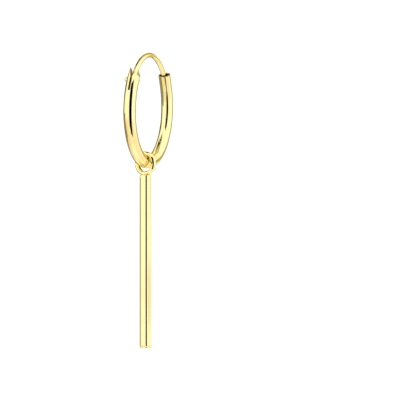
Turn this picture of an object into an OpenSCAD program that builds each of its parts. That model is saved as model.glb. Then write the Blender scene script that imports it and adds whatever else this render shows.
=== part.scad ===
// Bar earring: a hinged sleeper hoop of tube with an ear wire, and a square bar hanging from it by a ring.
// Millimetres, +Z up. The origin is on the ear wire's centre line at its top, where it hangs in the ear.
// The hoop lies in the XZ plane apart from its small lean, with the hinge at -X and the socket at +X.
// Angles in the hoop are measured about its centre, from +X towards +Z.

/* [Hoop] */
// Outer diameter of the hoop
hoop_d = 12; // [11:0.5:16]
// Outer diameter of the tube
tube_d = 1.25; // [1.15:0.05:1.5]
// Wall of the tube
tube_wall = 0.15; // [0.1:0.01:0.18]
// Lean of the hoop out of the plumb, as it hangs
hoop_lean = 2.2; // [0:0.1:5]

/* [Socket] */
// Angle above the hoop's centre at which the tube runs on straight
socket_angle = 26; // [22:1:34]
// Length of the straight end of the tube
socket_len = 1.6; // [1.2:0.05:1.7]
// Gap between the ear wire and the wall that it rests near in the socket
socket_gap = 0.025; // [0.02:0.005:0.06]
// Depth of the ear wire's tip in the socket
tip_depth = 0.65; // [0.4:0.05:0.7]
// Length of the ear wire's tapered tip
tip_len = 0.15; // [0.1:0.05:0.3]
// Diameter of the tip's blunt end
tip_end_d = 0.28; // [0.2:0.02:0.4]

/* [Hinge] */
// Angle of the hinge pin above the hoop's centre
hinge_angle = 29.5; // [26:0.5:34]
// Diameter of the hinge pin
pin_d = 0.44; // [0.36:0.02:0.48]
// Length of the pin's shank that stands out of the far ear, below its dome
pin_proud = 0.12; // [0:0.02:0.2]
// Height of the pin's domed end over the far ear
dome_far = 0.18; // [0.1:0.01:0.18]
// Height of the pin's domed end over the near ear
dome_near = 0.04; // [0.03:0.01:0.15]
// Radial gap between the pin and the ears that hold it
pin_gap = 0.01; // [0.005:0.005:0.02]
// Length of the far ear beyond the pin
ear_far = 1.3; // [1.2:0.05:1.7]
// Length of the near ear beyond the pin
ear_near = 0.9; // [0.8:0.05:1.1]
// Depth of the saw slot below the pin
slot_depth = 1.5; // [1.2:0.05:1.8]
// Half angle of the notch between the ears
notch_angle = 16; // [14:1:18]
// Start of the file flat on the near ear, above the pin
flat_start = 0.28; // [0.26:0.01:0.4]
// Depth of the file flat
flat_depth = 0.2; // [0.1:0.01:0.22]
// Length of solid metal between the bore and the slot
plug_len = 0.4; // [0.2:0.05:0.8]

/* [Ear wire] */
// Diameter of the ear wire
wire_d = 0.52; // [0.48:0.02:0.6]
// Thickness of the flattened foot
foot_t = 0.18; // [0.14:0.01:0.22]
// Radius of the foot's round end
foot_r = 0.38; // [0.34:0.01:0.42]
// Distance from the pin to where the foot starts to thicken
foot_len = 0.64; // [0.62:0.01:0.7]
// Distance over which the foot thickens to the round wire
foot_taper = 0.4; // [0.36:0.02:0.6]
// Gap on each side of the foot in its slot
foot_gap = 0.02; // [0.015:0.005:0.03]
// Radial running clearance of the foot on the pin
hinge_clear = 0.02; // [0.015:0.005:0.03]

/* [Drop] */
// Angle between the hoop's lowest point and the ring, towards the hinge
ring_slide = 5; // [0:0.5:8]
// Turn of the drop about its own length
drop_turn = -16; // [-18:1:0]
// Inner diameter of the ring
ring_inner_d = 1.6; // [1.55:0.05:2.4]
// Thickness of the ring's round-edged section, across its hole
ring_t = 0.42; // [0.36:0.02:0.6]
// Width of the ring's section, along its axis
ring_w = 0.56; // [0.46:0.02:0.8]
// Gap between the ring and the tube that it hangs on
hang_gap = 0.035; // [0.03:0.005:0.05]
// Depth to which the ring is sunk and soldered into the bar
solder_sink = 0.09; // [0.06:0.01:0.15]
// Height of the solder's fillet above the bar
solder_h = 0.14; // [0.08:0.01:0.2]
// Width of the solder's fillet beyond the ring's section
solder_w = 0.12; // [0.06:0.01:0.15]
// Side of the square bar
bar_side = 0.98; // [0.9:0.02:1.4]
// Length of the bar
bar_len = 17.5; // [10:0.5:30]
// Radius of the bar's long edges
bar_edge = 0.12; // [0.06:0.01:0.2]
// Radius of the edges at the bar's two ends
bar_end_edge = 0.1; // [0.05:0.01:0.2]

/* [Hidden] */
$fn = 64;
bend_fn = 128;
// Overrun of a cutting tool past what it cuts
over = 0.5;
// Where a straight end joins a bent rod: the length it is seated in the rod, and the step of its surface
join_seat = 0.05;
join_step = 0.01;
// Half width of the foot's plate: as a part of foot_r at the pin, and of the wire's radius at its far end
plate_wide = 0.92;
plate_narrow = 0.6;
gold = "#e8c86a";

tube_r = tube_d / 2;
bore_r = tube_r - tube_wall;
hoop_r = hoop_d / 2 - tube_r;
wire_r = wire_d / 2;
pin_r = pin_d / 2;
slot_w = foot_t + 2 * foot_gap;

// Degrees of the hoop's centre line that a length along it spans
function arc_deg(length) = length / hoop_r * 180 / PI;
// Point of the hoop's plane at a radius and an angle
function polar(r, a) = [r * cos(a), r * sin(a)];

// Hinge end of the tube
hinge_t = 180 - hinge_angle;
ear_end_t = hinge_t - arc_deg(ear_far);
near_end_t = hinge_t - arc_deg(ear_near);
bore_start_t = hinge_t + arc_deg(slot_depth + plug_len);
pin_at = polar(hoop_r, hinge_t);

// Mouth of the socket, and the point where the ear wire's centre line passes through it
mouth_at = polar(hoop_r, socket_angle) + polar(socket_len, socket_angle + 90);
wire_play = bore_r - join_step - wire_r - socket_gap;
entry_at = mouth_at - polar(wire_play, socket_angle);

// The ear wire is an arc of the hoop's own radius from the pin to the mouth
chord = entry_at - pin_at;
chord_a = atan2(chord.y, chord.x);
bow = sqrt(hoop_r ^ 2 - (norm(chord) / 2) ^ 2);
wire_c = (pin_at + entry_at) / 2 + polar(bow, chord_a - 90);
wire_start_t = atan2(pin_at.y - wire_c.y, pin_at.x - wire_c.x);
entry_t = atan2(entry_at.y - wire_c.y, entry_at.x - wire_c.x);
wire_tip_t = entry_t - arc_deg(tip_depth - tip_len);
wire_top = wire_c + [0, hoop_r];

// Tube's centre where the drop hangs, in the plumb frame
hang_in_hoop = polar(hoop_r, 270 - ring_slide) - wire_top;
hang_at = [hang_in_hoop.x, -hang_in_hoop.y * sin(hoop_lean), hang_in_hoop.y * cos(hoop_lean)];
ring_inner_r = ring_inner_d / 2;
ring_drop = ring_inner_r - tube_r - hang_gap;
bar_top = -ring_inner_r - ring_t + solder_sink;

// Places children drawn in the hoop's own plane, centred on the hoop
module in_hoop() {
    rotate([hoop_lean, 0, 0])
        rotate([90, 0, 0])
            translate([-wire_top.x, -wire_top.y, 0])
                children();
}

// Round bar bent along a circle from angle a0 to angle a1
module bent_rod(bend_r, r, a0, a1) {
    rotate([0, 0, a0])
        rotate_extrude(angle = a1 - a0, $fn = bend_fn)
            translate([bend_r, 0])
                circle(r);
}

// Frame at the pin: X away from the hoop's centre, Y along the tube towards its lowest point
module at_pin() {
    translate([pin_at.x, pin_at.y, 0])
        rotate([0, 0, hinge_t])
            children();
}

// Prism through the tube at the pin, from an outline drawn in the tube's length and the hoop's axis
module across_tube(depth) {
    rotate([90, 0, 90])
        linear_extrude(height = depth, center = true)
            children();
}

// Bar of radius r bent along the hoop from angle a0, with a straight end of radius end_r at the socket
module tube_body(r, end_r, a0, mouth_over = 0) {
    bent_rod(hoop_r, r, a0, 360 + socket_angle);
    translate(polar(hoop_r, socket_angle))
        rotate([-90, 0, socket_angle])
            translate([0, 0, -join_seat])
                cylinder(h = join_seat + socket_len + mouth_over, r = end_r);
}

// Saw slot and the notch that opens it between the ears
module ear_slot() {
    reach = ear_far + over;
    spread = slot_w / 2 + reach * tan(notch_angle);
    at_pin()
        across_tube(tube_d + 2 * over) {
            translate([-reach, -slot_w / 2])
                square([reach + slot_depth, slot_w]);
            polygon([[0, slot_w / 2], [-reach, spread], [-reach, -spread], [0, -slot_w / 2]]);
        }
}

// What is cut from the near ear: its end, and the flat filed on its outer side
module near_ear_cut() {
    rotate([0, 0, near_end_t - 90])
        translate([0, hoop_r - tube_d, 0])
            cube([tube_d * 2, tube_d * 2, tube_d]);
    at_pin()
        translate([-tube_d, -flat_start - ear_far - over, tube_r - flat_depth])
            cube([tube_d * 2, ear_far + over, tube_d]);
}

// Tube of the hoop, with its socket and its two ears
module hoop_tube() {
    color(gold)
        in_hoop()
            difference() {
                tube_body(tube_r, tube_r + join_step, ear_end_t);
                tube_body(bore_r, bore_r - join_step, bore_start_t, over);
                ear_slot();
                near_ear_cut();
                at_pin()
                    cylinder(h = tube_d + 2 * over, r = pin_r + pin_gap, center = true);
            }
}

// Domed end of the pin, standing h over its seat at Z = 0
module dome(h) {
    dome_r = pin_r - join_step;
    cap_r = (dome_r ^ 2 + h ^ 2) / (2 * h);
    intersection() {
        translate([0, 0, h - cap_r])
            sphere(cap_r);
        translate([0, 0, -join_seat])
            cylinder(h = join_seat + h + over, r = dome_r);
    }
}

// Rivet through both ears
module hinge_pin() {
    color(gold)
        in_hoop()
            at_pin() {
                translate([0, 0, -tube_r - pin_proud])
                    cylinder(h = tube_d + pin_proud, r = pin_r);
                translate([0, 0, tube_r])
                    dome(dome_near);
                mirror([0, 0, 1])
                    translate([0, 0, tube_r + pin_proud])
                        dome(dome_far);
            }
}

// Round part of the ear wire, from its tapered tip to the middle of the foot
module round_wire() {
    translate([wire_c.x, wire_c.y, 0]) {
        bent_rod(hoop_r, wire_r, wire_tip_t, wire_start_t - arc_deg(foot_len / 2));
        translate(polar(hoop_r, wire_tip_t))
            rotate([90, 0, wire_tip_t])
                translate([0, 0, -join_seat])
                    cylinder(h = tip_len + join_seat, r1 = wire_r - join_step, r2 = tip_end_d / 2);
    }
}

// Wedge that holds the ear wire: as thin as the foot at the pin, and wider than the wire beyond its taper
module foot_wedge() {
    far = hoop_d;
    spread = foot_t / 2 + (far - foot_len) * (wire_r - foot_t / 2) / foot_taper;
    at_pin()
        across_tube(2 * far)
            polygon([
                [over, foot_t / 2],
                [-foot_len, foot_t / 2],
                [-far, spread],
                [-far, -spread],
                [-foot_len, -foot_t / 2],
                [over, -foot_t / 2]
            ]);
}

// Flat foot round the pin, narrowing into the wire
module foot_plate() {
    reach = foot_len + foot_taper;
    inward = reach ^ 2 / (2 * hoop_r);
    wide = foot_r * plate_wide;
    narrow = wire_r * plate_narrow;
    at_pin()
        linear_extrude(height = foot_t, center = true) {
            circle(foot_r);
            polygon([[wide, 0], [-wide, 0], [-narrow - inward, -reach], [narrow - inward, -reach]]);
        }
}

// Ear wire with its flattened foot at the pin and its round tip in the socket
module ear_wire() {
    color(gold)
        in_hoop()
            difference() {
                union() {
                    intersection() {
                        round_wire();
                        foot_wedge();
                    }
                    foot_plate();
                }
                at_pin()
                    cylinder(h = wire_d + 2 * over, r = pin_r + hinge_clear, center = true);
            }
}

// Rectangle with round corners, built from squares and circles, centred
module round_rect(size, r) {
    square([size.x - 2 * r, size.y], center = true);
    square([size.x, size.y - 2 * r], center = true);
    for (sx = [-1, 1], sy = [-1, 1])
        translate([sx * (size.x / 2 - r), sy * (size.y / 2 - r)])
            circle(r);
}

// Square bar with round edges, its top at Z = 0
module square_bar() {
    translate([0, 0, -bar_len / 2])
        intersection() {
            linear_extrude(height = bar_len, center = true)
                round_rect([bar_side, bar_side], bar_edge);
            rotate([90, 0, 0])
                linear_extrude(height = bar_side, center = true)
                    round_rect([bar_side, bar_len], bar_end_edge);
            rotate([90, 0, 90])
                linear_extrude(height = bar_side, center = true)
                    round_rect([bar_side, bar_len], bar_end_edge);
        }
}

// Section of the ring, flat inside and outside with round edges
module ring_section() {
    flat = ring_w - ring_t;
    square([ring_t, flat], center = true);
    for (side = [-1, 1])
        translate([0, side * flat / 2])
            circle(ring_t / 2);
}

// Ring and square bar, soldered together
module bar_pendant() {
    color(gold)
        translate(hang_at - [0, 0, ring_drop])
            rotate([0, 0, drop_turn]) {
                rotate([0, 90, 0])
                    rotate_extrude($fn = bend_fn)
                        translate([ring_inner_r + ring_t / 2, 0])
                            ring_section();
                translate([0, 0, bar_top]) {
                    square_bar();
                    cylinder(h = solder_h, r1 = ring_w / 2 + solder_w, r2 = ring_w / 2);
                }
            }
}

hoop_tube();
hinge_pin();
ear_wire();
bar_pendant();
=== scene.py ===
"""Dressed model of the bar earring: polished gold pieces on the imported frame, in a white light tent."""
import math

import bmesh
import bpy
from mathutils import Matrix, Vector


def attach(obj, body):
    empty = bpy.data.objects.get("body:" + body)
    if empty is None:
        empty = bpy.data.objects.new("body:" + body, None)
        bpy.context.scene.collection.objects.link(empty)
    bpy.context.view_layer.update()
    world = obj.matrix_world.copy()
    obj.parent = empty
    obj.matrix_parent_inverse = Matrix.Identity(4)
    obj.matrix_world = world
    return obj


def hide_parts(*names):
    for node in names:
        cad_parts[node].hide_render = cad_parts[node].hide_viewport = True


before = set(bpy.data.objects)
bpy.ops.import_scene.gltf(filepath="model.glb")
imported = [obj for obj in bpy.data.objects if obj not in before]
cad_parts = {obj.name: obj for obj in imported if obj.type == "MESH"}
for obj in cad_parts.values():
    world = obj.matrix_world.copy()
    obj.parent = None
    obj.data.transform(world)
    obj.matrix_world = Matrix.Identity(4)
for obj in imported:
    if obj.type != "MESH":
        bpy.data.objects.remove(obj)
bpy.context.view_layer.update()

# Sizes below are in millimetres, and MM turns them into the frame's metres
MM = 0.001

# Hoop and socket
HOOP_D = 12.0
TUBE_D = 1.25
TUBE_WALL = 0.15
HOOP_LEAN = math.radians(2.2)
SOCKET_ANGLE = math.radians(26)
SOCKET_LEN = 1.6
SOCKET_GAP = 0.025
JOIN_STEP = 0.01
TIP_DEPTH = 0.65
TIP_LEN = 0.15
TIP_END_D = 0.28
LIP_R = 0.07

# Hinge
HINGE_ANGLE = math.radians(29.5)
PIN_D = 0.44
PIN_GAP = 0.01
PIN_PROUD = 0.12
DOME_FAR = 0.18
DOME_NEAR = 0.04
EAR_FAR = 1.3
EAR_NEAR = 0.9
SLOT_DEPTH = 1.5
NOTCH_ANGLE = math.radians(16)
FLAT_START = 0.28
FLAT_DEPTH = 0.2
PLUG_LEN = 0.4

# Ear wire
WIRE_D = 0.52
FOOT_T = 0.18
FOOT_R = 0.38
FOOT_GAP = 0.02
FOOT_LEN = 0.56
FOOT_FLOW = 0.52
HINGE_CLEAR = 0.02

# Drop
RING_SLIDE = math.radians(5)
DROP_TURN = math.radians(-16)
RING_INNER_D = 1.6
RING_T = 0.42
RING_W = 0.56
HANG_GAP = 0.035
SOLDER_SINK = 0.09
SOLDER_H = 0.16
SOLDER_W = 0.12
RING_EDGE = 0.12
BAR_SIDE = 0.98
BAR_LEN = 17.5
BAR_EDGE = 0.135
BAR_END_EDGE = 0.1

# Camera: level, turned by VIEW_TURN about the vertical, from looking along +Y towards +X
VIEW_TURN = math.radians(71.3)
CAMERA_DISTANCE = 161.65
CAMERA_RIGHT = 5.155
CAMERA_DOWN = 9.174
LENS = 144
SENSOR = 36
CLIP_START_M = 0.001
CLIP_END_M = 10

# Light tent
TENT_LIGHT = 1.15
FLOOR_Z = -45.0
FLOOR_R = 900.0
FLOOR_HUB_R = 0.9
FLOOR_SIDES = 64

# Derived sizes
TUBE_R = TUBE_D / 2
BORE_R = TUBE_R - TUBE_WALL
HOOP_R = HOOP_D / 2 - TUBE_R
WIRE_R = WIRE_D / 2
PIN_R = PIN_D / 2
SLOT_W = FOOT_T + 2 * FOOT_GAP
RING_INNER_R = RING_INNER_D / 2

UP = Vector((0, 0, 1))


def polar(radius, angle):
    """Point of the hoop's plane at a radius and an angle."""
    return Vector((radius * math.cos(angle), radius * math.sin(angle), 0))


def smooth_step(start, end, x):
    """0 before start, 1 after end, and an even ease between them."""
    u = min(max((x - start) / (end - start), 0), 1)
    return u * u * (3 - 2 * u)


# Hinge end of the tube, in the hoop's plane
HINGE_T = math.pi - HINGE_ANGLE
EAR_END_T = HINGE_T - EAR_FAR / HOOP_R
NEAR_END_T = HINGE_T - EAR_NEAR / HOOP_R
BORE_START_T = HINGE_T + (SLOT_DEPTH + PLUG_LEN) / HOOP_R
PIN_AT = polar(HOOP_R, HINGE_T)

# The ear wire is an arc of the hoop's radius from the pin to the socket's mouth
MOUTH_AT = polar(HOOP_R, SOCKET_ANGLE) + polar(SOCKET_LEN, SOCKET_ANGLE + math.pi / 2)
WIRE_PLAY = BORE_R - JOIN_STEP - WIRE_R - SOCKET_GAP
ENTRY_AT = MOUTH_AT - polar(WIRE_PLAY, SOCKET_ANGLE)
CHORD = ENTRY_AT - PIN_AT
BOW = math.sqrt(HOOP_R**2 - (CHORD.length / 2) ** 2)
WIRE_C = (PIN_AT + ENTRY_AT) / 2 + polar(BOW, math.atan2(CHORD.y, CHORD.x) - math.pi / 2)
WIRE_START_T = math.atan2(PIN_AT.y - WIRE_C.y, PIN_AT.x - WIRE_C.x)
ENTRY_T = math.atan2(ENTRY_AT.y - WIRE_C.y, ENTRY_AT.x - WIRE_C.x)
WIRE_TIP_T = ENTRY_T - (TIP_DEPTH - TIP_LEN) / HOOP_R
WIRE_TOP = WIRE_C + Vector((0, HOOP_R, 0))

# From the hoop's plane, whose centre is the origin, to the row's frame in metres
HOOP_TO_ROW = (
    Matrix.Scale(MM, 4)
    @ Matrix.Rotation(HOOP_LEAN, 4, "X")
    @ Matrix.Rotation(math.pi / 2, 4, "X")
    @ Matrix.Translation(-WIRE_TOP)
)
# The pin's own frame: X away from the hoop's centre, Y along the tube, Z along the pin
PIN_TO_HOOP = Matrix.Translation(PIN_AT) @ Matrix.Rotation(HINGE_T, 4, "Z")

# The drop's frame is centred in its ring, with the ring's axis along X
HANG_AT = (HOOP_TO_ROW @ polar(HOOP_R, 1.5 * math.pi - RING_SLIDE)) / MM
RING_DROP = RING_INNER_R - TUBE_R - HANG_GAP
BAR_TOP = -RING_INNER_R - RING_T + SOLDER_SINK
DROP_TO_ROW = (
    Matrix.Scale(MM, 4)
    @ Matrix.Translation(HANG_AT - UP * RING_DROP)
    @ Matrix.Rotation(DROP_TURN, 4, "Z")
)

# Camera's own directions, level
TOWARDS_CAMERA = Vector((-math.sin(VIEW_TURN), -math.cos(VIEW_TURN), 0))
CAMERA_RIGHT_WAY = Vector((math.cos(VIEW_TURN), -math.sin(VIEW_TURN), 0))
HOOP_CENTRE = (HOOP_TO_ROW @ Vector((0, 0, 0))) / MM


# Mesh tools

def mesh_object(name, points, faces, matrix=None):
    """Smooth mesh object from points and faces, moved by matrix."""
    mesh = bpy.data.meshes.new(name)
    mesh.from_pydata([tuple(p) for p in points], [], faces)
    mesh.validate()
    if matrix:
        mesh.transform(matrix)
    fix = bmesh.new()
    fix.from_mesh(mesh)
    bmesh.ops.recalc_face_normals(fix, faces=fix.faces)
    fix.to_mesh(mesh)
    fix.free()
    mesh.shade_smooth()
    obj = bpy.data.objects.new(name, mesh)
    bpy.context.scene.collection.objects.link(obj)
    return obj


def skin(rings, close=False):
    """Points and faces of a skin over rings of equal length, with its two ends capped unless it closes."""
    count = len(rings[0])
    points = [p for ring in rings for p in ring]
    faces = []
    spans = len(rings) if close else len(rings) - 1
    for i in range(spans):
        a = i * count
        b = (i + 1) % len(rings) * count
        for j in range(count):
            k = (j + 1) % count
            faces.append((a + j, a + k, b + k, b + j))
    if not close:
        faces.append(tuple(range(count)))
        faces.append(tuple(range(len(points) - count, len(points))))
    return points, faces


def rounded_loop(half_u, half_v, power, count):
    """Loop of (u, v) on a superellipse: power 2 is an ellipse, and more is squarer."""
    loop = []
    for i in range(count):
        a = 2 * math.pi * i / count
        cu, sv = math.cos(a), math.sin(a)
        u = math.copysign(abs(cu) ** (2 / power), cu) * half_u
        v = math.copysign(abs(sv) ** (2 / power), sv) * half_v
        loop.append((u, v))
    return loop


def lathe(profile, count):
    """Points and faces of a profile of (radius, height) turned about Z."""
    rings = []
    for radius, height in profile:
        rings.append([
            Vector((radius * math.cos(a), radius * math.sin(a), height))
            for a in (2 * math.pi * i / count for i in range(count))
        ])
    return skin(rings)


def prism(outline, height, matrix):
    """Closed prism from an outline in the XY plane, centred in height, moved by matrix."""
    low = [Vector((x, y, -height / 2)) for x, y in outline]
    high = [Vector((x, y, height / 2)) for x, y in outline]
    points, faces = skin([low, high])
    return mesh_object("cutter", points, faces, matrix)


def cut(obj, cutters):
    """Takes the cutters out of obj and deletes them."""
    for cutter in cutters:
        modifier = obj.modifiers.new("cut", "BOOLEAN")
        modifier.operation = "DIFFERENCE"
        modifier.solver = "EXACT"
        modifier.object = cutter
        with bpy.context.temp_override(object=obj, active_object=obj):
            bpy.ops.object.modifier_apply(modifier=modifier.name)
        bpy.data.objects.remove(cutter)


def dress(obj, body, nodes, materials):
    """Puts a finished piece on its body, over its CAD nodes, with its materials."""
    for material in materials:
        obj.data.materials.append(material)
    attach(obj, body)
    if nodes:
        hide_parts(*nodes)


# Materials

GOLD = (0.97, 0.87, 0.45)
GOLD_DEEP = (0.94, 0.82, 0.39)
GOLD_EDGE = (0.8, 0.68, 0.38)
# The sawn colours are darker than the gold as painted shade in the slot, the notch and on the socket's lip
SAWN_PAINTED_SHADE = (0.6, 0.48, 0.24)
SAWN_PAINTED_SHADE_EDGE = (0.4, 0.3, 0.14)
# Near black: painted shade inside the tube's bore
BORE_PAINTED_SHADE = (0.05, 0.03, 0.01)

# Grain of the gold. Noise scales are per metre of the object
CLOUD_SCALE = 900
CLOUD_DETAIL = 4
CLOUD_FROM = 0.45
CLOUD_TO = 0.8
SCRATCH_SCALE = 26000
SCRATCH_DETAIL = 3
SCRATCH_FROM = 0.35
SCRATCH_TO = 0.75
SCRATCH_STRETCH = (1, 1, 0.06)
SCRATCH_TURN = (0.1, 0.25, 0)
SCRATCH_DEPTH = 0.002


def add_noise(tree, vector, scale, detail):
    """Noise texture read at a vector output."""
    noise = tree.nodes.new("ShaderNodeTexNoise")
    noise.inputs["Scale"].default_value = scale
    noise.inputs["Detail"].default_value = detail
    tree.links.new(vector, noise.inputs["Vector"])
    return noise.outputs["Fac"]


def add_clouds(tree, shader, vector, light, deep):
    """Soft clouds between two golds, on the shader's colour."""
    spread = tree.nodes.new("ShaderNodeMapRange")
    spread.inputs["From Min"].default_value = CLOUD_FROM
    spread.inputs["From Max"].default_value = CLOUD_TO
    tree.links.new(add_noise(tree, vector, CLOUD_SCALE, CLOUD_DETAIL), spread.inputs["Value"])
    tint = tree.nodes.new("ShaderNodeMix")
    tint.data_type = "RGBA"
    tint.inputs["A"].default_value = (*light, 1)
    tint.inputs["B"].default_value = (*deep, 1)
    tree.links.new(spread.outputs["Result"], tint.inputs["Factor"])
    tree.links.new(tint.outputs["Result"], shader.inputs["Base Color"])


def add_scratches(tree, shader, vector, rough_low, rough_high, strength):
    """Long fine lines, on the shader's roughness and bump."""
    stretch = tree.nodes.new("ShaderNodeMapping")
    stretch.inputs["Scale"].default_value = SCRATCH_STRETCH
    stretch.inputs["Rotation"].default_value = SCRATCH_TURN
    tree.links.new(vector, stretch.inputs["Vector"])
    lines = add_noise(tree, stretch.outputs["Vector"], SCRATCH_SCALE, SCRATCH_DETAIL)

    polish = tree.nodes.new("ShaderNodeMapRange")
    polish.inputs["From Min"].default_value = SCRATCH_FROM
    polish.inputs["From Max"].default_value = SCRATCH_TO
    polish.inputs["To Min"].default_value = rough_low
    polish.inputs["To Max"].default_value = rough_high
    tree.links.new(lines, polish.inputs["Value"])
    tree.links.new(polish.outputs["Result"], shader.inputs["Roughness"])

    bump = tree.nodes.new("ShaderNodeBump")
    bump.inputs["Strength"].default_value = strength
    bump.inputs["Distance"].default_value = SCRATCH_DEPTH * MM
    tree.links.new(lines, bump.inputs["Height"])
    tree.links.new(bump.outputs["Normal"], shader.inputs["Normal"])


def gold_material(name, light, deep, rim, rough_low, rough_high, scratch):
    """Gold with its colour clouds, its roughness from low to high and its scratches."""
    material = bpy.data.materials.new(name)
    material.use_nodes = True
    tree = material.node_tree
    shader = tree.nodes["Principled BSDF"]
    shader.inputs["Metallic"].default_value = 1.0
    shader.inputs["Specular Tint"].default_value = (*rim, 1)
    where = tree.nodes.new("ShaderNodeTexCoord").outputs["Object"]
    add_clouds(tree, shader, where, light, deep)
    add_scratches(tree, shader, where, rough_low, rough_high, scratch)
    return material


def glow_material(name, colour, strength):
    """Even light of one colour."""
    material = bpy.data.materials.new(name)
    material.use_nodes = True
    tree = material.node_tree
    tree.nodes.clear()
    glow = tree.nodes.new("ShaderNodeEmission")
    glow.inputs["Color"].default_value = (*colour, 1)
    glow.inputs["Strength"].default_value = strength
    out = tree.nodes.new("ShaderNodeOutputMaterial")
    tree.links.new(glow.outputs["Emission"], out.inputs["Surface"])
    material.cycles.emission_sampling = "NONE"
    return material


def card_material():
    """Light of the colour that each corner of a card carries."""
    material = glow_material("card", (1, 1, 1), 1.0)
    tree = material.node_tree
    tone = tree.nodes.new("ShaderNodeAttribute")
    tone.attribute_name = "tone"
    tree.links.new(tone.outputs["Color"], tree.nodes["Emission"].inputs["Color"])
    return material


# The tent's own white, and the tones of its cards
WHITE = Vector((TENT_LIGHT, TENT_LIGHT, TENT_LIGHT))
BLACK = Vector((0.0, 0.0, 0.0))
GREY = Vector((0.13, 0.13, 0.08))
PALE_GREY = Vector((0.5, 0.5, 0.45))
DARK_OLIVE = Vector((0.3, 0.28, 0.2))
WARM = Vector((0.95, 0.83, 0.78))
PEACH = Vector((1.05, 0.92, 0.88))
CREAM = Vector((1.05, 0.95, 0.80))
LOW_TAN = Vector((0.72, 0.60, 0.42))
TAN = Vector((0.55, 0.42, 0.28))
BROWN = Vector((0.25, 0.20, 0.10))
DARK_BROWN = Vector((0.06, 0.045, 0.01))

CARD = card_material()
POLISHED = gold_material(
    "polished_gold", GOLD, GOLD_DEEP, GOLD_EDGE, rough_low=0.035, rough_high=0.11, scratch=0.12
)
# Rougher sawn finish for the slot, the notch and the socket's lip, with a darker colour that is painted
# shade
SAWN_GOLD_PAINTED_SHADE = gold_material(
    "sawn_gold_painted_shade", SAWN_PAINTED_SHADE, SAWN_PAINTED_SHADE, SAWN_PAINTED_SHADE_EDGE, rough_low=0.35, rough_high=0.55, scratch=0.8
)
# Inside of the tube: a near-black colour that is painted shade
BORE_GOLD_PAINTED_SHADE = gold_material(
    "bore_painted_shade", BORE_PAINTED_SHADE, BORE_PAINTED_SHADE, BORE_PAINTED_SHADE, rough_low=0.35, rough_high=0.55, scratch=0.8
)


# Pieces of the object

TUBE_SIDES = 96
TUBE_STEP = 0.075
UNDER_LIP = 0.01
CUT_PAST = 0.5
LIP_STEPS = 5
SLOT_END_STEPS = 12
HOLE_SIDES = 48
PIN_SIDES = 64
DOME_STEPS = 14
DOME_TIP_R = 0.002
# Material index of the sawn finish with its painted shade
SAWN_SHADE_SLOT = 1
TUBE_SHARP = math.radians(32)
SMALL_SHARP = math.radians(40)


def ring_at(centre, outward, radius):
    """Round section at a point of a bent tube, in the plane of outward and the hoop's axis."""
    return [
        centre + outward * (radius * math.cos(a)) + UP * (radius * math.sin(a))
        for a in (2 * math.pi * i / TUBE_SIDES for i in range(TUBE_SIDES))
    ]


def socket_ring(along, radius):
    """Round section of the socket's straight end, at a distance along it."""
    centre = polar(HOOP_R, SOCKET_ANGLE) + polar(along, SOCKET_ANGLE + math.pi / 2)
    return ring_at(centre, polar(1, SOCKET_ANGLE), radius)


def straight_rings(radius):
    """Round sections along the socket's straight end, close together under its lip."""
    last = SOCKET_LEN - LIP_R
    count = round(last / (2 * TUBE_STEP))
    places = [last * i / count for i in range(1, count)] + [last - UNDER_LIP]
    return [socket_ring(along, radius) for along in places]


def bent_rings(radius, start, end):
    """Round sections along the hoop from one angle to another."""
    count = max(2, round(abs(end - start) * HOOP_R / TUBE_STEP))
    turns = [start + (end - start) * i / count for i in range(count + 1)]
    return [ring_at(polar(HOOP_R, t), polar(1, t), radius) for t in turns]


def lip_rings():
    """The socket's lip: a flat end with a small round on its outer and inner edge."""
    rings = []
    for i in range(LIP_STEPS + 1):
        a = math.pi / 2 * i / LIP_STEPS
        rings.append(socket_ring(
            SOCKET_LEN - LIP_R * (1 - math.sin(a)),
            TUBE_R - LIP_R * (1 - math.cos(a)),
        ))
    for i in range(LIP_STEPS + 1):
        a = math.pi / 2 * i / LIP_STEPS
        rings.append(socket_ring(
            SOCKET_LEN - LIP_R * (1 - math.cos(a)),
            BORE_R + LIP_R * (1 - math.sin(a)),
        ))
    return rings


def slot_cutter():
    """Saw slot with a round end, and the notch that opens it."""
    reach = EAR_FAR + CUT_PAST
    spread = SLOT_W / 2 + reach * math.tan(NOTCH_ANGLE)
    end = SLOT_DEPTH - SLOT_W / 2
    outline = [(0, SLOT_W / 2), (-reach, spread), (-reach, -spread), (0, -SLOT_W / 2)]
    for i in range(SLOT_END_STEPS + 1):
        a = -math.pi / 2 + math.pi * i / SLOT_END_STEPS
        outline.append((end + SLOT_W / 2 * math.cos(a), SLOT_W / 2 * math.sin(a)))
    stand = Matrix.Rotation(math.pi / 2, 4, "Z") @ Matrix.Rotation(math.pi / 2, 4, "X")
    return prism(outline, 3 * TUBE_D, PIN_TO_HOOP @ stand)


def box_cutter(low, high, matrix):
    """Box between two corners, moved by matrix."""
    outline = [(low[0], low[1]), (high[0], low[1]), (high[0], high[1]), (low[0], high[1])]
    middle = Matrix.Translation((0, 0, (low[2] + high[2]) / 2))
    return prism(outline, high[2] - low[2], matrix @ middle)


def near_ear_cutters():
    """The near ear's end, and the flat filed on its outer side."""
    end = box_cutter(
        (0, HOOP_R - TUBE_D, 0),
        (2 * TUBE_D, HOOP_R + TUBE_D, TUBE_D),
        Matrix.Rotation(NEAR_END_T - math.pi / 2, 4, "Z"),
    )
    flat = box_cutter(
        (-TUBE_D, -FLAT_START - EAR_FAR, TUBE_R - FLAT_DEPTH),
        (TUBE_D, -FLAT_START, 2 * TUBE_D),
        PIN_TO_HOOP,
    )
    return [end, flat]


def pin_cutter(radius):
    """Round hole at the pin."""
    points, faces = lathe([(radius, -2 * TUBE_D), (radius, 2 * TUBE_D)], HOLE_SIDES)
    return mesh_object("cutter", points, faces, PIN_TO_HOOP)


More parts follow.
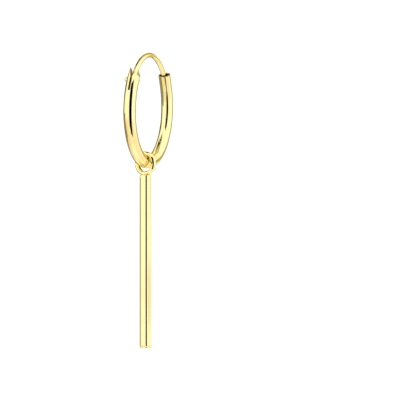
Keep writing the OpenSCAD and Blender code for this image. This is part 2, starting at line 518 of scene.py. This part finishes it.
def mark_sawn_shaded_faces(obj):
    """Gives the slot and the notch their rougher sawn finish, whose darker colour is painted shade."""
    flat_enough = 0.5
    gap_slack = 0.003
    depth_slack = 0.01
    skin_slack = 0.004
    to_pin = PIN_TO_HOOP.inverted()
    for face in obj.data.polygons:
        place = to_pin @ face.center
        turned = to_pin.to_3x3() @ face.normal
        half_gap = SLOT_W / 2 + max(-place.y, 0) * math.tan(NOTCH_ANGLE)
        in_slot = abs(place.z) < half_gap + gap_slack and place.y < SLOT_DEPTH + depth_slack
        near_pin = place.length < 2 * TUBE_D and abs(turned.x) < flat_enough
        rim = (face.center - polar(HOOP_R, math.atan2(face.center.y, face.center.x))).length
        if in_slot and near_pin and rim < TUBE_R - skin_slack:
            face.material_index = SAWN_SHADE_SLOT


def make_hoop():
    """The tube with its sawn ears and its open socket."""
    outer = bent_rings(TUBE_R, EAR_END_T, 2 * math.pi + SOCKET_ANGLE) + straight_rings(TUBE_R)
    inner = straight_rings(BORE_R)[::-1] + bent_rings(BORE_R, 2 * math.pi + SOCKET_ANGLE, BORE_START_T)
    points, faces = skin(outer + lip_rings() + inner)
    obj = mesh_object("hoop_tube_polished", points, faces)
    for material in (POLISHED, SAWN_GOLD_PAINTED_SHADE, BORE_GOLD_PAINTED_SHADE):
        obj.data.materials.append(material)
    # The socket's lip takes the sawn finish with its painted shade
    lip_from = len(outer) * TUBE_SIDES
    bore_from = lip_from + len(lip_rings()) * TUBE_SIDES
    # The bore inside the tube takes its near-black painted shade
    for face in obj.data.polygons:
        first = min(face.vertices)
        face.material_index = (first >= lip_from) + (first >= bore_from)
    cut(obj, [slot_cutter(), *near_ear_cutters(), pin_cutter(PIN_R + PIN_GAP)])
    mark_sawn_shaded_faces(obj)
    obj.data.transform(HOOP_TO_ROW)
    obj.data.set_sharp_from_angle(angle=TUBE_SHARP)
    dress(obj, "hoop", ["hoop_tube"], [])


def dome_profile(height, seat, way):
    """Profile points of a domed end that stands up from its seat, way +1 or -1 along the pin."""
    cap_r = (PIN_R**2 + height**2) / (2 * height)
    reach = math.asin(min(PIN_R / cap_r, 1))
    if height > PIN_R:
        reach = math.pi - reach
    points = []
    for i in range(DOME_STEPS, -1, -1):
        a = reach * i / DOME_STEPS
        rise = height - cap_r * (1 - math.cos(a))
        points.append((max(cap_r * math.sin(a), DOME_TIP_R), seat + way * rise))
    return points


def make_pin():
    """The rivet, domed at both ends."""
    far = dome_profile(DOME_FAR, -TUBE_R - PIN_PROUD, -1)
    near = dome_profile(DOME_NEAR, TUBE_R, 1)
    points, faces = lathe(far[::-1] + near, PIN_SIDES)
    obj = mesh_object("hinge_pin_polished", points, faces, HOOP_TO_ROW @ PIN_TO_HOOP)
    obj.data.set_sharp_from_angle(angle=SMALL_SHARP)
    dress(obj, "hoop", ["hinge_pin"], [POLISHED])


WIRE_SIDES = 64
WIRE_STEP = 0.05
FOOT_STEPS = 16
FOOT_END = 0.998
FOOT_POWER = 4
TAPER_START = 0.1
TAPER_SHARE = 0.7
TIP_STEPS = 10


def wire_section(along):
    """Half width, half thickness and squareness of the ear wire at a distance from the pin."""
    if along < 0:
        width = math.sqrt(FOOT_R**2 - along**2)
    else:
        taper_end = FOOT_LEN + TAPER_SHARE * FOOT_FLOW
        width = FOOT_R + (WIRE_R - FOOT_R) * smooth_step(TAPER_START, taper_end, along)
    flow = smooth_step(FOOT_LEN, FOOT_LEN + FOOT_FLOW, along)
    thick = FOOT_T / 2 + (WIRE_R - FOOT_T / 2) * flow
    return width, thick, FOOT_POWER - (FOOT_POWER - 2) * flow


def wire_ring(along, centre, outward, scale=1.0):
    """Section of the ear wire as a ring of points."""
    width, thick, power = wire_section(along)
    loop = rounded_loop(width * scale, thick * scale, power, WIRE_SIDES)
    return [centre + outward * u + UP * v for u, v in loop]


def wire_ring_at(along):
    """Section of the ear wire on its arc, at a distance from the pin."""
    turn = WIRE_START_T - along / HOOP_R
    return wire_ring(along, WIRE_C + polar(HOOP_R, turn), polar(1, turn))


def make_ear_wire():
    """The wire through the ear, from its flat drilled foot to its tapered tip."""
    length = (WIRE_START_T - WIRE_TIP_T) * HOOP_R
    rings = [
        wire_ring_at(-FOOT_R * math.cos(math.pi / 2 * i / FOOT_STEPS) * FOOT_END)
        for i in range(FOOT_STEPS)
    ]
    steps = round(length / WIRE_STEP)
    rings += [wire_ring_at(length * i / steps) for i in range(steps + 1)]
    tip_at = WIRE_C + polar(HOOP_R, WIRE_TIP_T)
    onward = polar(1, WIRE_TIP_T - math.pi / 2)
    for i in range(1, TIP_STEPS + 1):
        u = i / TIP_STEPS
        scale = 1 - (1 - TIP_END_D / WIRE_D) * u**2
        rings.append(wire_ring(length, tip_at + onward * TIP_LEN * u, polar(1, WIRE_TIP_T), scale))
    points, faces = skin(rings)
    obj = mesh_object("ear_wire_polished", points, faces)
    cut(obj, [pin_cutter(PIN_R + HINGE_CLEAR)])
    obj.data.transform(HOOP_TO_ROW)
    obj.data.set_sharp_from_angle(angle=SMALL_SHARP)
    dress(obj, "wire", ["ear_wire"], [POLISHED])


# Sections of the drop: flats that ease down towards soft chamfers
FLAT_PLACES = (0.1, 0.4, 0.6, 0.75, 0.88, 0.97)
EASE_FROM = 0.6
EASE_SLOPE = 0.08
CHAMFER_STEPS = 8
CHAMFER_FLATNESS = 0.9
RING_TURNS = 144
BAR_SPANS = 160
BAR_END_STEPS = 7
SOLDER_SIDES = 48
SOLDER_STEPS = 14
SOLDER_POWER = 2.2
SOLDER_IN_BAR = 0.03
SOLDER_HALF_Y = 0.3
SOLDER_FLARE_Y = 0.14
SOLDER_TAPER_Y = 0.06
SOLDER_SHARE_X = 0.9


def eased_flat(inner):
    """Places along half a flat, each with how far it has sunk."""
    places = []
    for share in FLAT_PLACES:
        ease = max(share - EASE_FROM, 0) / (1 - EASE_FROM)
        places.append((share * inner, EASE_SLOPE * inner * ease**2))
    return places


def soft_corner(half_u, half_v, edge):
    """Quarter of a section: two flats that ease down a little, and a chamfer with soft borders."""
    inner_u, inner_v = half_u - edge, half_v - edge
    sides = [Vector((half_u - sunk, v)) for v, sunk in eased_flat(inner_v)]
    ends = [Vector((u, half_v - sunk)) for u, sunk in eased_flat(inner_u)]
    first = Vector((half_u - EASE_SLOPE * inner_v, inner_v))
    last = Vector((inner_u, half_v - EASE_SLOPE * inner_u))
    corner = []
    for i in range(CHAMFER_STEPS + 1):
        a = math.pi / 2 * i / CHAMFER_STEPS
        u = inner_u + (first.x - inner_u) * math.cos(a)
        v = inner_v + (last.y - inner_v) * math.sin(a)
        chamfer = first.lerp(last, i / CHAMFER_STEPS)
        corner.append(Vector((u, v)).lerp(chamfer, CHAMFER_FLATNESS))
    return sides + corner + ends[::-1]


def soft_loop(half_u, half_v, edge):
    """Rectangular section with chamfered edges, as polishing leaves it."""
    corner = soft_corner(half_u, half_v, edge)
    back = corner[::-1]
    return (
        corner + [Vector((-p.x, p.y)) for p in back]
        + [-p for p in corner] + [Vector((p.x, -p.y)) for p in back]
    )


def make_ring():
    """The ring that the drop hangs by, with its flat faces and soft edges."""
    middle = RING_INNER_R + RING_T / 2
    loop = soft_loop(RING_T / 2, RING_W / 2, RING_EDGE)
    rings = []
    for i in range(RING_TURNS):
        a = 2 * math.pi * i / RING_TURNS
        out = Vector((0, math.cos(a), math.sin(a)))
        rings.append([out * (middle + u) + Vector((v, 0, 0)) for u, v in loop])
    points, faces = skin(rings, close=True)
    obj = mesh_object("drop_ring_polished", points, faces, DROP_TO_ROW)
    dress(obj, "drop", ["bar_pendant"], [POLISHED])


def make_solder():
    """The solder that flows from the ring's foot onto the bar's top."""
    rings = []
    for i in range(SOLDER_STEPS + 1):
        u = i / SOLDER_STEPS
        flare = (1 - u) ** 2
        half_x = RING_W / 2 * SOLDER_SHARE_X + SOLDER_W * flare
        half_y = SOLDER_HALF_Y + SOLDER_FLARE_Y * flare - SOLDER_TAPER_Y * u
        height = BAR_TOP - SOLDER_IN_BAR + (SOLDER_H + SOLDER_IN_BAR) * u
        loop = rounded_loop(half_x, half_y, SOLDER_POWER, SOLDER_SIDES)
        rings.append([Vector((x, y, height)) for x, y in loop])
    points, faces = skin(rings)
    obj = mesh_object("drop_solder_polished", points, faces, DROP_TO_ROW)
    dress(obj, "drop", [], [POLISHED])


def bar_stations():
    """Distances down the bar, each with how far its sides are drawn in there."""
    end = []
    for i in range(BAR_END_STEPS + 1):
        a = math.pi / 2 * i / BAR_END_STEPS
        end.append((BAR_END_EDGE * (1 - math.sin(a)), BAR_END_EDGE * (1 - math.cos(a))))
    body = BAR_LEN - 2 * BAR_END_EDGE
    middle = [(BAR_END_EDGE + body * i / BAR_SPANS, 0) for i in range(1, BAR_SPANS)]
    foot = [(BAR_LEN - down, inset) for down, inset in reversed(end)]
    return end + middle + foot


def make_bar():
    """The long square bar, with soft edges and ends."""
    section = soft_loop(BAR_SIDE / 2, BAR_SIDE / 2, BAR_EDGE)
    rings = []
    for down, inset in bar_stations():
        scale = (BAR_SIDE / 2 - inset) / (BAR_SIDE / 2)
        rings.append([Vector((p.x * scale, p.y * scale, BAR_TOP - down)) for p in section])
    points, faces = skin(rings)
    obj = mesh_object("drop_bar_polished", points, faces, DROP_TO_ROW)
    dress(obj, "drop", [], [POLISHED])


# Studio

def make_floor():
    """Plain white floor of the tent: a disc, without the lathe's second cap over all of it."""
    points, faces = lathe([(FLOOR_HUB_R, 0), (FLOOR_R, 0)], FLOOR_SIDES)
    at_floor = Matrix.Scale(MM, 4) @ Matrix.Translation(UP * FLOOR_Z)
    obj = mesh_object("floor", points, faces[:-1], at_floor)
    obj.data.materials.append(glow_material("white_floor", (1, 1, 1), TENT_LIGHT))


def bearing_way(bearing, elevation):
    """Direction from its bearing, in degrees to the camera's right of the camera, and its elevation."""
    turn = math.radians(bearing)
    rise = math.radians(elevation)
    level = TOWARDS_CAMERA * math.cos(turn) + CAMERA_RIGHT_WAY * math.sin(turn)
    return level * math.cos(rise) + UP * math.sin(rise)


def tone_at(stops, bearing):
    """Colour at a bearing, from stops of (bearing, colour) in rising order."""
    if bearing <= stops[0][0]:
        return Vector(stops[0][1])
    for (low, before), (high, after) in zip(stops, stops[1:]):
        if bearing <= high:
            return Vector(before).lerp(Vector(after), (bearing - low) / (high - low))
    return Vector(stops[-1][1])


def card_point(centre, distance, bearing, level, lies_at, upright):
    """Point of a card, in millimetres."""
    if upright:
        return centre + bearing_way(bearing, 0) * distance + UP * level
    if lies_at is not None:
        distance = (centre.z - lies_at) / math.sin(math.radians(-level))
    return centre + bearing_way(bearing, level) * distance


CARD_POINTS = 65


def make_card(name, centre, distance, stops, levels, edges=None, lies_at=None, upright=False):
    """Card for reflections only, curved round a centre.

    Its colours run across it by bearing. levels are the elevations where they start, are full, start to
    fade and have faded into the tent's white, or the heights in millimetres of an upright card. edges
    tells how far its left and right edge shift at a level. lies_at is the height of a card that lies flat.
    """
    start, full, fade, high = levels
    points = []
    tones = []
    for i in range(CARD_POINTS):
        level = start + (high - start) * i / (CARD_POINTS - 1)
        left, right = edges(level) if edges else (0, 0)
        rise = smooth_step(start, full, level)
        fall = smooth_step(fade, high, level)
        for j in range(CARD_POINTS):
            u = j / (CARD_POINTS - 1)
            bearing = stops[0][0] + (stops[-1][0] - stops[0][0]) * u
            shift = left + (right - left) * u
            points.append(card_point(centre, distance, bearing + shift, level, lies_at, upright) * MM)
            tone = WHITE.lerp(tone_at(stops, bearing), rise).lerp(WHITE, fall)
            tones += [*tone, 1]
    faces = []
    for i in range(CARD_POINTS - 1):
        for j in range(CARD_POINTS - 1):
            a = i * CARD_POINTS + j
            faces.append((a, a + 1, a + CARD_POINTS + 1, a + CARD_POINTS))
    obj = mesh_object(name, points, faces)
    obj.data.attributes.new("tone", "FLOAT_COLOR", "POINT").data.foreach_set("color", tones)
    obj.data.materials.append(CARD)
    obj.visible_camera = False
    obj.visible_diffuse = False
    obj.visible_shadow = False


# How the front strip's edges lean: the height below which, degrees a millimetre, and over how many
LEFT_LEAN = (-19, 1.9, 7)
RIGHT_LEAN = (-11, 0.5, 10)


def lean_at(level, lean):
    """How far an edge has shifted at a level."""
    below, slope, depth = lean
    return slope * min(max(below - level, 0), depth)


def front_edges(level):
    """The front strip leans to the right and narrows towards its foot."""
    return lean_at(level, LEFT_LEAN), lean_at(level, RIGHT_LEAN)


def make_cards():
    """Dark, grey and warm cards that the gold reflects. Bearings and elevations are in degrees."""
    near_side = (HOOP_TO_ROW @ polar(HOOP_R, math.pi)) / MM
    bar_middle = HANG_AT + UP * (BAR_TOP - BAR_LEN / 2)
    # The long dark line down both sides of the hoop and along the bar's corner
    make_card(
        "front_strip", near_side, 25,
        [(-10, WHITE), (-6, BLACK), (37, BLACK), (41, WHITE)],
        (-32.5, -31, 25, 32), front_edges, upright=True,
    )
    # Dark outer contours on the left of the hoop
    make_card(
        "back_left", HOOP_CENTRE, 80,
        [(-176, WHITE), (-168, GREY), (-108, GREY), (-98, WHITE)],
        (-16, -8, 24, 34),
    )
    # Grey outer contours on the right of the hoop
    make_card(
        "back_right", HOOP_CENTRE, 80,
        [(112, WHITE), (122, PALE_GREY), (150, PALE_GREY), (162, WHITE)],
        (-12, -6, 4, 10),
    )
    # Contours of the hoop's lower part
    make_card(
        "back_low", HOOP_CENTRE, 70,
        [(-178, WHITE), (-172, GREY), (-150, GREY), (-142, WHITE)],
        (-34, -28, 0, 8),
    )
    # Brown and tan on the top of the ear wire, and the streak at the hoop's lower right
    make_card(
        "wire_back", Vector((0, 0, 0)), 12,
        [
            (132, WHITE), (144, TAN), (166, TAN), (178, LOW_TAN),
            (200, BROWN), (218, DARK_BROWN), (230, DARK_BROWN), (238, WHITE),
        ],
        (10, 18, 80, 88),
    )
    # Dark left side of the ear wire
    make_card(
        "wire_left", Vector((0, 0, 0)), 13,
        [(226, WHITE), (236, DARK_BROWN), (290, DARK_BROWN), (304, WHITE)],
        (40, 46, 80, 88),
    )
    # Warm glow on the hoop's lower half
    make_card(
        "floor_warm", HOOP_CENTRE, None,
        [(-160, WHITE), (-138, WARM), (-60, WARM), (-30, CREAM), (120, CREAM), (150, WHITE)],
        (-78, -58, -24, -12), lies_at=FLOOR_Z + 1,
    )
    # The bar's left edge
    make_card(
        "bar_left", bar_middle, 40,
        [(-140, WHITE), (-134, DARK_OLIVE), (-80, DARK_OLIVE), (-76, WHITE)],
        (-18, -17, 12, 12.5), upright=True,
    )
    # Peach tint low on the bar's right face
    make_card(
        "bar_peach", bar_middle, 60,
        [(92, WHITE), (100, PEACH), (114, PEACH), (122, WHITE)],
        (-12.5, -8.5, -5, 0),
    )


def make_studio():
    """White tent with its floor, and the cards, which the camera doesn't see."""
    world = bpy.data.worlds.new("tent")
    world.use_nodes = True
    sky = world.node_tree.nodes["Background"]
    sky.inputs["Color"].default_value = (1, 1, 1, 1)
    sky.inputs["Strength"].default_value = TENT_LIGHT
    bpy.context.scene.world = world
    make_floor()
    make_cards()


def make_camera():
    """Level camera at the photograph's angle."""
    data = bpy.data.cameras.new("camera")
    data.lens = LENS
    data.sensor_width = SENSOR
    data.clip_start = CLIP_START_M
    data.clip_end = CLIP_END_M
    camera = bpy.data.objects.new("camera", data)
    place = HOOP_CENTRE + CAMERA_RIGHT_WAY * CAMERA_RIGHT - UP * CAMERA_DOWN
    camera.location = (place + TOWARDS_CAMERA * CAMERA_DISTANCE) * MM
    camera.rotation_mode = "QUATERNION"
    camera.rotation_quaternion = (-TOWARDS_CAMERA).to_track_quat("-Z", "Y")
    bpy.context.scene.collection.objects.link(camera)
    bpy.context.scene.camera = camera


make_camera()
make_hoop()
make_pin()
make_ear_wire()
make_ring()
make_solder()
make_bar()
make_studio()
bpy.context.scene.view_settings.view_transform = "Standard"
